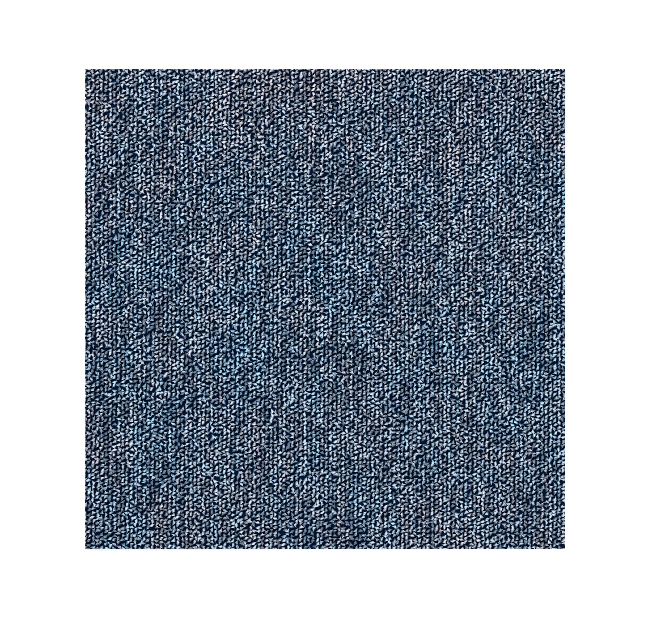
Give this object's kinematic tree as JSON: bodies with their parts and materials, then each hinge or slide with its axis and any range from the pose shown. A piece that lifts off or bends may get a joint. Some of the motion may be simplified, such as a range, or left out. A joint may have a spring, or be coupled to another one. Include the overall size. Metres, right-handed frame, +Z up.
{
  "type": "carpet tile",
  "caption": "Square loop-pile carpet tile in mottled blue yarn on a heavy flat backing, laid flat to cover a floor.",
  "frame": {"origin": "middle of the flat underside, on the floor that the tile lies on", "axes": "+Z up out of the pile, Y along the tufted rows, X across them"},
  "size_m": [0.5, 0.5, 0.007],
  "materials": {
    "backing": "matt filled bitumen compound with a fleece on its underside",
    "backing_cloth": "flat non-woven cloth, stiff with latex",
    "yarn": "bulked loop yarn, space-dyed in light blue, mid blue, grey and navy"
  },
  "bodies": {
    "root": {"backing_slab": "backing", "primary_backing": "backing_cloth", "loop_pile": "yarn"}
  },
  "joints": []
}
